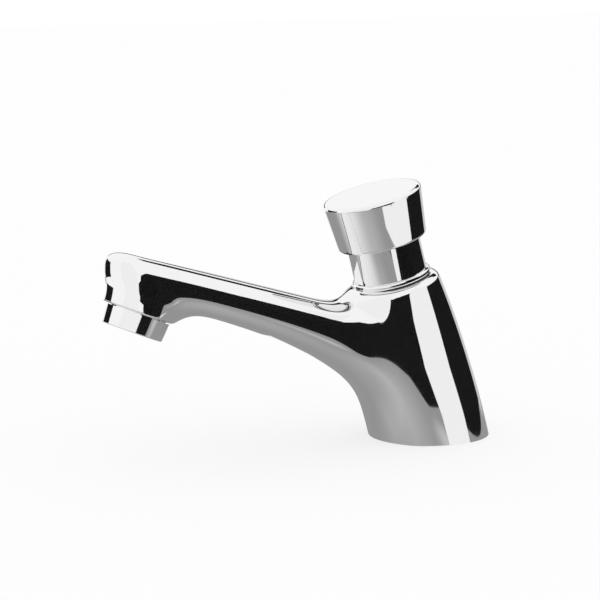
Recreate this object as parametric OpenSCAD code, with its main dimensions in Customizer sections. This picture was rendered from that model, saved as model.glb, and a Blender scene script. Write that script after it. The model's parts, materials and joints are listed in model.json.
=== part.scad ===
// Push timed basin tap: a leaning pillar with a cast spout, and a push knob that works a self-closing valve.
// Millimetres. The deck is z = 0, the pillar's foot is centred on the origin and the spout points along -X.
// "Forward" below is the distance along -X. "Level" is the distance along the pillar's leaning axis.

/* [Pillar] */
// Diameter of the pillar at its foot, square to its axis
foot_d = 47; // [45:0.2:52]
// Diameter of the pillar at its shoulder, where its curved wall ends
shoulder_d = 36.8; // [36.4:0.2:42]
// Forward lean of the pillar's axis, in degrees
pillar_lean = 15; // [10:0.5:17]
// Height of the body's shoulder along the axis
body_h = 65.6; // [60:0.2:76]
// Rounding of the shoulder
shoulder_round = 2.4; // [1:0.2:2.6]

/* [Spout] */
// Forward distance from the foot's centre to the outlet's centre
spout_reach = 124.7; // [105:0.1:155]
// Distance along the axis from the shoulder down to the spout's top line
spout_drop = 16.8; // [15:0.1:22]
// Upward slope of the spout's top, in degrees
spout_rise = 16.3; // [11:0.1:20]
// Width of the spout
spout_w = 24; // [22:0.5:27]
// Thickness of the spout just behind its tip
spout_t = 17.1; // [15.5:0.1:21]
// Length over which the spout's top curves up to the pillar
root_l = 16; // [10:0.5:20]
// Height of that curve where it meets the pillar
root_h = 5; // [3:0.1:7]
// How much wider each side of the spout is where it leaves the pillar
root_flare = 4; // [2:0.5:5]
// Height that the underside climbs steeply from the foot
web_h = 19.8; // [15:0.1:26]
// Distance that the web starts behind the foot's front
web_inset = 3; // [2:0.1:5]
// Upward slope of the underside near the tip, in degrees
underside_rise = 18.6; // [14:0.1:22]
// Length over which the underside bends from that slope towards the foot
underside_run = 63.3; // [45:0.1:70]
// Length of the heel between the straight underside and the outlet's boss
heel_l = 11.1; // [8:0.1:14]

/* [Outlet] */
// Diameter of the spout's round tip
tip_d = 28.6; // [27.6:0.2:32]
// Depth of the tip at its centre, from the top down to the outlet's face
tip_depth = 21.8; // [20:0.1:26]
// Forward tilt of the jet, in degrees
outlet_tilt = 21.6; // [12:0.1:26]
// Height of the boss above the outlet's face
boss_h = 12; // [9:0.2:13]
// Rounding of the boss's lower edge
boss_edge = 1; // [0.6:0.1:2]
// Rounding of the boss's upper edge, where it sinks into the spout
boss_crown = 4; // [3:0.2:5]
// Diameter of the outlet housing at its top
aerator_d = 25; // [24.4:0.1:26]
// Diameter of the outlet housing at its lower edge
aerator_foot_d = 23.8; // [23:0.1:24.2]
// Height of the outlet housing below the spout
aerator_h = 7.6; // [6:0.1:11]
// Outer diameter of the outlet's thread
aerator_thread_d = 22; // [21.6:0.1:22.6]
// Length of the outlet's thread
aerator_thread_l = 6.8; // [6:0.1:8]
// Wall of the outlet housing at its thread
aerator_wall = 1.4; // [1:0.1:1.8]

/* [Neck and knob] */
// Diameter of the bead at the neck's foot
collar_d = 31.6; // [30.8:0.1:32]
// Height of the bead
collar_h = 2.4; // [1.6:0.1:3.2]
// Thickness of the gasket under the bead
collar_gasket_t = 0.4; // [0.3:0.1:1]
// Diameter of the neck
neck_d = 29; // [28.6:0.1:29.6]
// Length of neck that shows between the bead and the knob
neck_show = 13.7; // [10:0.1:17]
// Diameter of the knob at its foot
knob_foot_d = 35.2; // [33.6:0.2:38]
// Diameter of the knob at its top
knob_top_d = 39.6; // [38.2:0.2:44]
// Height of the knob
knob_h = 19.7; // [18:0.1:25]
// Thickness of the knob's top
knob_top_t = 3; // [2:0.1:4]
// Clear space all round between the knob's inside and the neck
knob_clear = 0.6; // [0.4:0.1:1]
// Travel of the knob when it is pushed
push_travel = 7; // [4:0.5:8]

/* [Cartridge] */
// Diameter of the stem
stem_d = 6; // [5:0.1:6.6]
// Bore of the timing barrel
barrel_bore_d = 18; // [17.4:0.1:18.6]
// Wall of the timing barrel
barrel_wall = 1.85; // [1.6:0.05:2]
// Thickness of the barrel's floor
barrel_floor_t = 4; // [3:0.1:5]
// Length of the bonnet's thread in the body
bonnet_thread_l = 14.6; // [13:0.1:16]
// Wall of the bonnet at its thread
bonnet_wall = 2.05; // [1.8:0.05:2.6]
// Thickness of the bonnet's roof
bonnet_roof_t = 4; // [3:0.1:5]
// Height of the piston
piston_h = 6; // [5:0.1:7]
// Empty height above the piston at rest
refill_gap = 3; // [2:0.1:4]
// Wire of the return spring
spring_wire_d = 1.2; // [0.8:0.05:1.3]
// Mean diameter of the return spring
spring_d = 13.2; // [12.6:0.1:14]
// Turns of the return spring
spring_turns = 4.5; // [3:0.5:5]

/* [Valve] */
// Diameter of the valve seat
seat_d = 22.9; // [22:0.1:23.4]
// Bore of the valve seat
seat_bore_d = 10; // [9:0.1:11]
// Thickness of the valve seat
seat_t = 3; // [2.6:0.1:4]
// Diameter of the valve washer
washer_d = 14; // [13.4:0.1:15]
// Thickness of the valve washer
washer_t = 3; // [2:0.1:4]
// Diameter of the waterway in the spout
waterway_d = 8; // [6:0.2:9]
// Depth of the waterway's middle below the spout's top
waterway_depth = 7.4; // [7:0.1:8]

/* [Supply and deck] */
// Nominal size of the hose thread in the base
hose_thread = 10; // [8:1:12]
// Pitch of the hose thread
hose_pitch = 1; // [0.75:0.25:1.25]
// Length of the hose thread
hose_thread_l = 9; // [8:0.5:10]
// Nominal size of the fixing stud's thread in the base
stud_thread = 8; // [6:1:8]
// Pitch of the fixing stud's thread
stud_pitch = 1.25; // [1:0.25:1.25]
// Length of the fixing stud's thread
stud_thread_l = 12; // [10:0.5:14]
// Distance of the fixing stud behind the foot's centre
stud_offset = 12.8; // [11:0.1:13.4]
// Distance of the base gasket's edge inside the foot's edge
gasket_inset = 3; // [2.6:0.1:4]
// Width of the base gasket's band
gasket_band = 3; // [2:0.1:3.4]
// Thickness of the base gasket
gasket_t = 1.6; // [1:0.1:2.4]

/* [Fits] */
// Gap all round between pieces that are screwed or pushed together
slip = 0.05; // [0.02:0.01:0.1]
// Gap between the valve washer and its seat at rest
seat_gap = 0.1; // [0.05:0.01:0.2]
// Gap left at the end of the knob's travel
stop_gap = 0.5; // [0.3:0.1:1]
// Hairline between the spout's tip and the outlet housing
shadow_gap = 0.4; // [0.2:0.1:0.8]

/* [Hidden] */
$fn = 64;

// Overshoot of a cutter past the face that it cuts
over = 1;
// Depth of a thread's groove as a share of its pitch
thread_share = 1.0825;

// Levels along the pillar's axis, from the shoulder up
collar_level = body_h + collar_gasket_t;
neck_level = collar_level + collar_h;
knob_level = neck_level + neck_show;
knob_top_level = knob_level + knob_h;
ceiling_level = knob_top_level - knob_top_t;
insert_t = 2.4;
hub_l = 2.8;
insert_level = ceiling_level - insert_t;
hub_level = insert_level - hub_l;
bonnet_top_level = hub_level - push_travel - stop_gap;
roof_level = bonnet_top_level - bonnet_roof_t;
bush_flange_t = 2;
barrel_top_level = roof_level - bush_flange_t;
piston_top_level = barrel_top_level - refill_gap;
piston_level = piston_top_level - piston_h;

// Levels along the pillar's axis, from the shoulder down
ledge_level = body_h - bonnet_thread_l;
barrel_flange_t = 2;
barrel_floor_level = ledge_level + barrel_floor_t;
spout_top_level = body_h - spout_drop;
waterway_level = spout_top_level - waterway_depth * cos(spout_rise) / cos(spout_rise + pillar_lean);
seat_top_level = waterway_level;
seat_level = seat_top_level - seat_t;
seat_lip_h = 1;
washer_top_level = seat_level - seat_lip_h - seat_gap;
washer_level = washer_top_level - washer_t;
disc_t = 2.5;
disc_level = washer_level - disc_t;
nut_t = 3;
nut_level = disc_level - nut_t;
stem_level = nut_level - 0.6;
floor_level = stem_level - push_travel - 1;

// Radii about the pillar's axis
stem_r = stem_d / 2;
stem_end_r = stem_r - 0.5;
stem_collar_r = stem_r + 1.5;
barrel_r = barrel_bore_d / 2 + barrel_wall;
bonnet_bore_r = barrel_r + 2 * slip;
bonnet_thread_r = bonnet_bore_r + bonnet_wall;
chamber_r = seat_d / 2 + slip;
lower_chamber_r = chamber_r - 1;
knob_bore_r = neck_d / 2 + knob_clear;
neck_r = neck_d / 2;
bush_wall = 3;
bush_r = stem_r + bush_wall;
pin_r = 0.5;
pin_gap = 0.3;
pin_place = stem_collar_r + pin_r + pin_gap;

// Cut threads in the base, at the radius of their crests
hose_r = (hose_thread - thread_share * hose_pitch) / 2;
stud_r = (stud_thread - thread_share * stud_pitch) / 2;
strainer_r = hose_r - 0.45;
strainer_t = 2.6;
gasket_d = foot_d - 2 * gasket_inset;
strainer_bore_l = 3;

// Outlet pieces, measured up from the outlet's face
aerator_bore_r = aerator_thread_d / 2 - aerator_wall;
aerator_lip_t = 1.2;
aerator_seal_t = 1.5;
socket_depth = aerator_thread_l + aerator_seal_t + 2 * slip;
screen_t = 0.4;
insert_top = 2;
screen_gap = 0.2;
regulator_level = insert_top + 2 * (screen_gap + screen_t) + screen_gap;

// Places in the pillar's side view, as [forward, up]
axis_point = [spout_top_level * sin(pillar_lean), spout_top_level * cos(pillar_lean)];
outlet_point = [spout_reach, spout_top(spout_reach) - tip_depth];
tip_r = tip_d / 2;
arm_end = spout_reach - tip_r - heel_l;

// The pillar's wall is an arc that starts square to the foot and ends at the shoulder
wall_narrowing = (foot_d - shoulder_d) / 2;
wall_curve_r = (pow(body_h, 2) + pow(wall_narrowing, 2)) / (2 * wall_narrowing);
function pillar_r(level) = foot_d / 2 - wall_curve_r + sqrt(pow(wall_curve_r, 2) - pow(level, 2));

// Underside of the spout: a cubic curve from inside the foot's front to the arm's end
web_start = foot_d / 2 / cos(pillar_lean) - web_inset;
arm_end_point = [arm_end, spout_top(arm_end) - spout_t];
underside = [
    [web_start, 0],
    [web_start + web_h * tan(pillar_lean), web_h],
    arm_end_point - underside_run * [cos(underside_rise), sin(underside_rise)],
    arm_end_point
];

function spout_top(forward) = axis_point[1] + (forward - axis_point[0]) * tan(spout_rise);
function mix(a, b, t) = a + (b - a) * t;
function cubic(p, t) = pow(1 - t, 3) * p[0] + 3 * pow(1 - t, 2) * t * p[1]
    + 3 * (1 - t) * t * t * p[2] + t * t * t * p[3];
function signed_power(v, e) = sign(v) * pow(abs(v), e);

// Points of the arc that rounds the corner p between its neighbours a and b
arc_steps = 6;
full_turn = 360;
function corner_arc(a, p, b, r) =
    let (
        to_a = (a - p) / norm(a - p),
        to_b = (b - p) / norm(b - p),
        half = acos(to_a * to_b) / 2,
        centre = p + (to_a + to_b) / norm(to_a + to_b) * r / sin(half),
        start = p + to_a * r / tan(half) - centre,
        end = p + to_b * r / tan(half) - centre,
        from = atan2(start[1], start[0]),
        turn = (atan2(end[1], end[0]) - from + 1.5 * full_turn) % full_turn - full_turn / 2
    )
    [for (i = [0 : arc_steps]) centre + r * [cos(from + turn * i / arc_steps), sin(from + turn * i / arc_steps)]];

// An outline from [radius, level] corners, where a third number is the corner's rounding
function rounded_outline(corners) =
    let (last = len(corners) - 1)
    [for (i = [0 : last])
        let (
            flat = [corners[i][0], corners[i][1]],
            before = corners[i == 0 ? last : i - 1],
            after = corners[i == last ? 0 : i + 1]
        )
        each len(corners[i]) > 2
            ? corner_arc([before[0], before[1]], flat, [after[0], after[1]], corners[i][2])
            : [flat]];

// Places its children on the pillar's axis
module on_pillar() {
    rotate([0, -pillar_lean, 0]) children();
}

// Places its children on the outlet's axis, with z = 0 on the outlet's face
module on_outlet() {
    translate([-outlet_point[0], 0, outlet_point[1]]) rotate([0, outlet_tilt, 0]) children();
}

// A piece turned on a lathe from its half outline
module turned(corners) {
    rotate_extrude() polygon(rounded_outline(corners));
}

// A plain ring between two radii and two levels
module ring(inner_r, outer_r, from, to) {
    turned([[inner_r, from], [outer_r, from], [outer_r, to], [inner_r, to]]);
}

// A straight hole or plug between two levels
module plug(r, from, to) {
    translate([0, 0, from]) cylinder(r = r, h = to - from);
}

// A round-section ring that fills a groove between two radii
module o_ring(inner_r, outer_r, level) {
    section_r = (outer_r - inner_r) / 2 - slip / 2;
    translate([0, 0, level]) rotate_extrude() translate([(inner_r + outer_r) / 2, 0]) circle(r = section_r);
}

// A split ring with a gap towards the back
module split_ring(inner_r, outer_r, from, to, gap) {
    difference() {
        ring(inner_r, outer_r, from, to);
        translate([0, -gap / 2, from - over]) cube([outer_r + over, gap, to - from + 2 * over]);
    }
}

// A closed skin over rings that all have the same number of points
module skin(rings) {
    sides = len(rings[0]);
    last = len(rings) - 1;
    walls = [for (i = [0 : last - 1], k = [0 : sides - 1])
        let (a = i * sides + k, b = i * sides + (k + 1) % sides)
        each [[a, b, b + sides], [a, b + sides, a + sides]]];
    first_cap = [for (k = [sides - 1 : -1 : 0]) k];
    last_cap = [for (k = [0 : sides - 1]) last * sides + k];
    polyhedron([for (r = rings) each r], concat(walls, [first_cap, last_cap]));
}

// Rise of the spout's top at a distance from the pillar's wall
function root_rise(distance) = root_h * pow(1 - min(max(distance, 0), root_l) / root_l, 2);

// One section of the spout from its lowest point to its highest, as a rounded oblong.
// Near the foot its lower side is wrapped back round the pillar, by a share from 0 to 1.
section_sides = 36;
section_power = 2.6;
root_level = body_h - spout_drop / 2;
root_axis = root_level * sin(pillar_lean);
function wrap_back(side) = foot_d / 2 - sqrt(max(pow(foot_d / 2, 2) - side * side, 0));
function spout_section(low, high, half_w, wrap = 0) =
    [for (k = [0 : section_sides - 1])
        let (
            angle = 360 * k / section_sides,
            side = half_w * signed_power(cos(angle), 2 / section_power),
            lift = signed_power(sin(angle), 2 / section_power),
            place = mix(low, high, (lift + 1) / 2),
            forward = place[0] - wrap * (1 - lift) / 2 * wrap_back(side),
            distance = norm([forward - root_axis, side]) - pillar_r(root_level)
        )
        [-forward, side, place[1] + max(lift, 0) * root_rise(distance)]];

// Sections of the arm, fanned out from the foot, closer together round the root's fillet
root_spread = 16;
arm_steps = concat(
    [for (i = [-1 : 5]) i * 0.05],
    [for (i = [0 : 10]) 0.3 + i * 0.02],
    [for (i = [1 : 10]) 0.5 + i * 0.05]
);
arm_sections = [for (t = arm_steps)
    let (
        low = cubic(underside, t),
        forward = low[0] - root_spread * pow(1 - t, 3),
        half_w = spout_w / 2 + root_flare * pow(1 - t, 4)
    )
    spout_section(low, [forward, spout_top(forward)], half_w, pow(1 - min(max(t, 0), 1), 2))];

// Sections of the tip: the underside dips in a heel to the boss, and past the outlet the spout is round in plan
heel_end = spout_reach - (tip_r - boss_edge) * cos(outlet_tilt);
heel_depth = underside_line(heel_end) - outlet_point[1] + (tip_r - boss_edge) * sin(outlet_tilt) - boss_edge;
function underside_line(forward) = arm_end_point[1] + (forward - arm_end) * tan(underside_rise);
function heel_share(forward) =
    forward <= heel_end
        ? pow((forward - arm_end) / (heel_end - arm_end), 2)
        : max(spout_reach - forward, 0) / (spout_reach - heel_end);
function tip_low(forward) = [forward, underside_line(forward) - heel_depth * heel_share(forward)];
function tip_high(forward) = [forward, spout_top(forward)];
heel_steps = 6;
tip_straight = concat(
    [for (i = [1 : heel_steps])
        let (forward = mix(arm_end, heel_end, i / heel_steps))
        spout_section(tip_low(forward), tip_high(forward), spout_w / 2)],
    [spout_section(tip_low(spout_reach), tip_high(spout_reach), spout_w / 2)]
);
tip_past = 0.8;
tip_round = [for (angle = [0 : 12 : 84])
    let (
        forward = spout_reach + tip_past + spout_w / 2 * sin(angle),
        keep = pow(1 - pow(sin(angle), section_power), 1 / section_power),
        middle = (tip_low(forward) + tip_high(forward)) / 2,
        half = (tip_high(forward) - tip_low(forward)) / 2
    )
    spout_section(middle - half * keep, middle + half * keep, spout_w / 2 * cos(angle))];

// The pillar's turned form, with its curved wall and rounded shoulder
wall_steps = 12;
module pillar() {
    sunk = 12;
    wall = [for (i = [0 : wall_steps - 1])
        let (level = mix(-sunk, body_h, i / wall_steps))
        [pillar_r(level), level]];
    on_pillar() turned(concat(
        [[0, -sunk]],
        wall,
        [[shoulder_d / 2, body_h, shoulder_round], [0, body_h]]
    ));
}

// The round boss under the tip, square to the jet
module outlet_boss() {
    on_outlet() turned([[0, 0], [tip_r, 0, boss_edge], [tip_r, boss_h, boss_crown], [0, boss_h]]);
}

// Everything bored into the body
module body_bores() {
    on_pillar() {
        plug(bonnet_thread_r + slip, ledge_level, body_h + over);
        plug(chamber_r, seat_level, ledge_level + over);
        plug(lower_chamber_r, floor_level, seat_level + over);
    }
    translate([0, 0, -over]) cylinder(r = hose_r, h = hose_thread_l + over);
    translate([0, 0, hose_thread_l - over]) cylinder(r = strainer_r + slip, h = strainer_bore_l + over);
    translate([0, 0, hose_thread_l]) cylinder(r = strainer_r - 0.6, h = floor_level - hose_thread_l + over);
    translate([stud_offset, 0, -over]) cylinder(r = stud_r, h = stud_thread_l + over);
    translate([0, 0, -over]) difference() {
        cylinder(r = gasket_d / 2 + slip, h = gasket_t + over);
        translate([0, 0, -over]) cylinder(r = gasket_d / 2 - gasket_band - slip, h = gasket_t + 3 * over);
    }
    waterway_start = axis_point[0];
    waterway_l = (spout_reach - waterway_start) / cos(spout_rise);
    translate([-waterway_start, 0, spout_top(waterway_start) - waterway_depth])
        rotate([0, -90 + spout_rise, 0]) cylinder(d = waterway_d, h = waterway_l);
    on_outlet() {
        plug(aerator_thread_d / 2 + slip, -over, socket_depth);
        plug(aerator_bore_r - 1.6, socket_depth - over, tip_depth * cos(outlet_tilt) - 6);
    }
}

module body() {
    deck = 4 * foot_d;
    color("silver") difference() {
        union() {
            pillar();
            skin(concat(arm_sections, tip_straight, tip_round));
            outlet_boss();
        }
        translate([-deck / 2, -deck / 2, -deck]) cube(deck);
        body_bores();
    }
}

module base_gasket() {
    color("#2a2a2a") ring(gasket_d / 2 - gasket_band, gasket_d / 2, 0, gasket_t - slip);
}

// A short plug with a ring of fine holes round a middle one
module inlet_strainer() {
    hole_r = 0.6;
    color("lightgray") difference() {
        plug(strainer_r, hose_thread_l, hose_thread_l + strainer_t);
        plug(hole_r, hose_thread_l - over, hose_thread_l + strainer_t + over);
        for (i = [0 : 7])
            rotate([0, 0, i * 45]) translate([strainer_r * 0.6, 0, 0])
                plug(hole_r, hose_thread_l - over, hose_thread_l + strainer_t + over);
    }
}

// Grooves for the sealing rings: their height and depth
groove_h = 1.4;
groove_depth = 0.85;

module valve_seat() {
    bore_r = seat_bore_d / 2;
    outer_r = seat_d / 2;
    middle = (seat_level + seat_top_level) / 2;
    lip_w = 1.4;
    color("goldenrod") on_pillar() turned([
        [bore_r, seat_level - seat_lip_h],
        [bore_r + lip_w, seat_level - seat_lip_h],
        [bore_r + lip_w, seat_level],
        [outer_r, seat_level],
        [outer_r, middle - groove_h / 2],
        [outer_r - groove_depth, middle - groove_h / 2],
        [outer_r - groove_depth, middle + groove_h / 2],
        [outer_r, middle + groove_h / 2],
        [outer_r, seat_top_level],
        [bore_r, seat_top_level]
    ]);
}

module seat_o_ring() {
    color("#2a2a2a") on_pillar()
        o_ring(seat_d / 2 - groove_depth, chamber_r, (seat_level + seat_top_level) / 2);
}

module collar_gasket() {
    color("#2a2a2a") on_pillar() ring(neck_r + slip, collar_d / 2 - 0.5, body_h, collar_level);
}

module collar_ring() {
    bead = collar_h / 2 - 0.1;
    color("silver") on_pillar() turned([
        [neck_r + slip, collar_level],
        [collar_d / 2, collar_level, bead],
        [collar_d / 2, neck_level, bead],
        [neck_r + slip, neck_level]
    ]);
}

bonnet_foot_level = ledge_level + barrel_flange_t + slip;
bonnet_groove_inset = 3;
bonnet_groove_level = body_h - bonnet_groove_inset;
module bonnet() {
    edge = 0.8;
    color("silver") on_pillar() turned([
        [bonnet_bore_r, bonnet_foot_level],
        [bonnet_thread_r, bonnet_foot_level],
        [bonnet_thread_r, bonnet_groove_level - groove_h / 2],
        [bonnet_thread_r - groove_depth, bonnet_groove_level - groove_h / 2],
        [bonnet_thread_r - groove_depth, bonnet_groove_level + groove_h / 2],
        [bonnet_thread_r, bonnet_groove_level + groove_h / 2],
        [bonnet_thread_r, body_h],
        [neck_r, body_h],
        [neck_r, bonnet_top_level, edge],
        [bush_r + slip, bonnet_top_level],
        [bush_r + slip, roof_level],
        [bonnet_bore_r, roof_level]
    ]);
}

module bonnet_o_ring() {
    color("#2a2a2a") on_pillar()
        o_ring(bonnet_thread_r - groove_depth, bonnet_thread_r + slip, bonnet_groove_level);
}

// The timing barrel, with two grooves outside and vents through its floor
lower_ring_inset = 8;
upper_ring_inset = 5;
barrel_ring_levels = [ledge_level + lower_ring_inset, barrel_top_level - upper_ring_inset];
module barrel() {
    vents = 4;
    vent_r = 1;
    color("goldenrod") on_pillar() difference() {
        union() {
            plug(bonnet_thread_r, ledge_level, ledge_level + barrel_flange_t);
            plug(barrel_r, ledge_level, barrel_top_level);
        }
        plug(barrel_bore_d / 2, barrel_floor_level, barrel_top_level + over);
        plug(stem_r + 2 * slip, ledge_level - over, barrel_floor_level + over);
        for (i = [0 : vents - 1])
            rotate([0, 0, 45 + i * 360 / vents]) translate([spring_d / 2, 0, 0])
                plug(vent_r, ledge_level - over, barrel_floor_level + over);
        for (level = barrel_ring_levels)
            ring(barrel_r - groove_depth, barrel_r + over, level - groove_h / 2, level + groove_h / 2);
    }
}

module barrel_o_rings() {
    color("#2a2a2a") on_pillar()
        for (level = barrel_ring_levels)
            o_ring(barrel_r - groove_depth, bonnet_bore_r, level);
}

// The stem's guide: a flange under the bonnet's roof and a sleeve up through it
seal_h = 2.5;
seal_w = 1.7;
module stem_bush() {
    color("ivory") on_pillar() difference() {
        union() {
            plug(barrel_r, barrel_top_level, roof_level);
            plug(bush_r, barrel_top_level, bonnet_top_level);
        }
        plug(stem_r + slip, barrel_top_level - over, bonnet_top_level + over);
        plug(stem_r + seal_w + slip, bonnet_top_level - seal_h, bonnet_top_level + over);
        translate([-pin_place, 0, 0]) plug(pin_r + slip, barrel_top_level - over, roof_level + over);
    }
}

module stem_seal() {
    color("#2a2a2a") on_pillar()
        ring(stem_r + slip, stem_r + seal_w, bonnet_top_level - seal_h + slip, bonnet_top_level - slip);
}

// A fixed needle that keeps the piston's bleed hole clean
module metering_pin() {
    color("lightgray") on_pillar() translate([-pin_place, 0, 0])
        plug(pin_r, piston_level - push_travel - 1, roof_level - slip);
}

module aerator_housing() {
    rim = 0.4;
    lip_r = aerator_bore_r - 1.2;
    color("silver") on_outlet() turned([
        [lip_r, -aerator_h],
        [aerator_foot_d / 2, -aerator_h, rim],
        [aerator_d / 2, -shadow_gap],
        [aerator_thread_d / 2, -shadow_gap],
        [aerator_thread_d / 2, aerator_thread_l],
        [aerator_bore_r, aerator_thread_l],
        [aerator_bore_r, aerator_lip_t - aerator_h],
        [lip_r, aerator_lip_t - aerator_h]
    ]);
}

// The jet former: a cup whose floor has a honeycomb of holes
module aerator_insert() {
    cup_wall = 1.2;
    cup_floor = 2;
    cup_level = aerator_lip_t - aerator_h;
    outer_r = aerator_bore_r - slip;
    hole_r = 0.8;
    spacing = 2.6;
    color("gainsboro") on_outlet() difference() {
        plug(outer_r, cup_level, insert_top);
        plug(outer_r - cup_wall, cup_level + cup_floor, insert_top + over);
        for (row = [-2 : 2], column = [-2 : 2])
            if (abs(row + column) <= 2)
                translate([spacing * (column + row / 2), spacing * row * sqrt(3) / 2, 0])
                    plug(hole_r, cup_level - over, cup_level + cup_floor + over);
    }
}

module aerator_screens() {
    color("lightgray") on_outlet()
        for (i = [0 : 1]) {
            level = insert_top + screen_gap + i * (screen_t + screen_gap);
            plug(aerator_bore_r - slip, level, level + screen_t);
        }
}

module flow_regulator() {
    hole_r = 1;
    holes = 8;
    disc_l = 1.6;
    dome_r = 3.4;
    color("ivory") on_outlet() difference() {
        union() {
            plug(aerator_bore_r - slip, regulator_level, regulator_level + disc_l);
            plug(dome_r, regulator_level, aerator_thread_l - slip);
        }
        for (i = [0 : holes - 1])
            rotate([0, 0, i * 360 / holes]) translate([aerator_bore_r * 0.65, 0, 0])
                plug(hole_r, regulator_level - over, regulator_level + disc_l + over);
    }
}

module aerator_seal() {
    color("#2a2a2a") on_outlet()
        ring(aerator_bore_r - 1.3, aerator_thread_d / 2 - slip,
            aerator_thread_l + slip, aerator_thread_l + slip + aerator_seal_t);
}

// The knob: a conical cup with a groove inside for its clip
clip_t = 1;
clip_bite = 0.5;
module push_knob() {
    foot_round = 1.2;
    top_round = 1.5;
    groove_r = knob_bore_r + clip_bite;
    color("silver") on_pillar() turned([
        [knob_bore_r, knob_level, 0.3],
        [knob_foot_d / 2, knob_level, foot_round],
        [knob_top_d / 2, knob_top_level, top_round],
        [0, knob_top_level],
        [0, ceiling_level],
        [knob_bore_r, ceiling_level],
        [knob_bore_r, insert_level],
        [groove_r, insert_level],
        [groove_r, insert_level - clip_t - slip],
        [knob_bore_r, insert_level - clip_t - slip]
    ]);
}

stem_top_level = ceiling_level - 1.2;
module knob_insert() {
    hub_r = stem_r + 3;
    color("dimgray") on_pillar() difference() {
        union() {
            plug(knob_bore_r - slip, insert_level, ceiling_level);
            plug(hub_r, hub_level, ceiling_level);
        }
        plug(stem_r + slip, hub_level - over, stem_top_level);
    }
}

module knob_clip() {
    band = 1.7;
    gap = 6;
    color("lightgray") on_pillar()
        split_ring(knob_bore_r - band, knob_bore_r + clip_bite - slip, insert_level - clip_t, insert_level, gap);
}

piston_clip_t = 1;
module stem() {
    groove_level = piston_level - piston_clip_t;
    collar_t = 1.5;
    color("lightgray") on_pillar() turned([
        [0, stem_level],
        [stem_end_r, stem_level],
        [stem_end_r, washer_level],
        [stem_r, washer_level],
        [stem_r, groove_level - slip],
        [stem_end_r, groove_level - slip],
        [stem_end_r, piston_level],
        [stem_r, piston_level],
        [stem_r, piston_top_level],
        [stem_collar_r, piston_top_level],
        [stem_collar_r, piston_top_level + collar_t],
        [stem_r, piston_top_level + collar_t],
        [stem_r, stem_top_level - slip],
        [0, stem_top_level - slip]
    ]);
}

// The piston, with a groove for its seal and a bleed hole round the metering pin
piston_r = barrel_bore_d / 2 - 2 * slip;
piston_groove_r = piston_r - 1.9;
piston_groove_h = 2.5;
piston_groove_level = piston_level + (piston_h - piston_groove_h) / 2;
module piston() {
    bleed_clear = 0.2;
    color("ivory") on_pillar() difference() {
        plug(piston_r, piston_level, piston_top_level);
        plug(stem_r + slip, piston_level - over, piston_top_level + over);
        translate([-pin_place, 0, 0]) plug(pin_r + bleed_clear, piston_level - over, piston_top_level + over);
        ring(piston_groove_r, piston_r + over, piston_groove_level, piston_groove_level + piston_groove_h);
    }
}

module piston_seal() {
    color("#2a2a2a") on_pillar()
        ring(piston_groove_r + slip, barrel_bore_d / 2 - slip,
            piston_groove_level + slip, piston_groove_level + piston_groove_h - slip);
}

module piston_clip() {
    color("lightgray") on_pillar()
        split_ring(stem_end_r + slip, stem_collar_r - 0.1, piston_level - piston_clip_t, piston_level, 3);
}

module valve_washer() {
    color("#2a2a2a") on_pillar() ring(stem_r + slip, washer_d / 2, washer_level, washer_top_level);
}

module valve_disc() {
    rim = 0.6;
    color("goldenrod") on_pillar() turned([
        [stem_end_r + slip, disc_level],
        [washer_d / 2 + 0.5, disc_level, rim],
        [washer_d / 2 + 0.5, washer_level],
        [stem_end_r + slip, washer_level]
    ]);
}

module valve_nut() {
    across_corners = 9;
    color("goldenrod") on_pillar() difference() {
        translate([0, 0, nut_level]) cylinder(d = across_corners, h = nut_t, $fn = 6);
        plug(stem_end_r + slip, nut_level - over, disc_level + over);
    }
}

// The return spring: one wire wound between the barrel's floor and the piston
wire_sides = 6;
turn_steps = 8;
wire_r = spring_wire_d / 2;
spring_low = barrel_floor_level + wire_r + slip;
spring_high = piston_level - wire_r - slip;
spring_steps = spring_turns * turn_steps;
function spring_place(i) =
    let (angle = 360 * i / turn_steps)
    [spring_d / 2 * cos(angle), spring_d / 2 * sin(angle), mix(spring_low, spring_high, i / spring_steps)];
spring_gap = min([for (i = [0 : spring_steps - turn_steps])
    norm(spring_place(i + turn_steps) - spring_place(i))]) - spring_wire_d;
module return_spring() {
    echo(least_gap_between_turns = spring_gap);
    rings = [for (i = [0 : spring_steps])
        let (angle = 360 * i / turn_steps)
        [for (k = [0 : wire_sides - 1])
            let (around = 360 * k / wire_sides)
            spring_place(i) + wire_r * [cos(around) * cos(angle), cos(around) * sin(angle), sin(around)]]];
    color("lightgray") on_pillar() skin(rings);
}

body();
base_gasket();
inlet_strainer();
valve_seat();
seat_o_ring();
collar_gasket();
collar_ring();
bonnet();
bonnet_o_ring();
barrel();
barrel_o_rings();
stem_bush();
stem_seal();
metering_pin();
aerator_housing();
aerator_insert();
aerator_screens();
flow_regulator();
aerator_seal();
push_knob();
knob_insert();
knob_clip();
stem();
piston();
piston_seal();
piston_clip();
valve_washer();
valve_disc();
valve_nut();
return_spring();
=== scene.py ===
"""A chrome push timed basin tap, dressed round its packed construction."""

import json
import math

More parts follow.
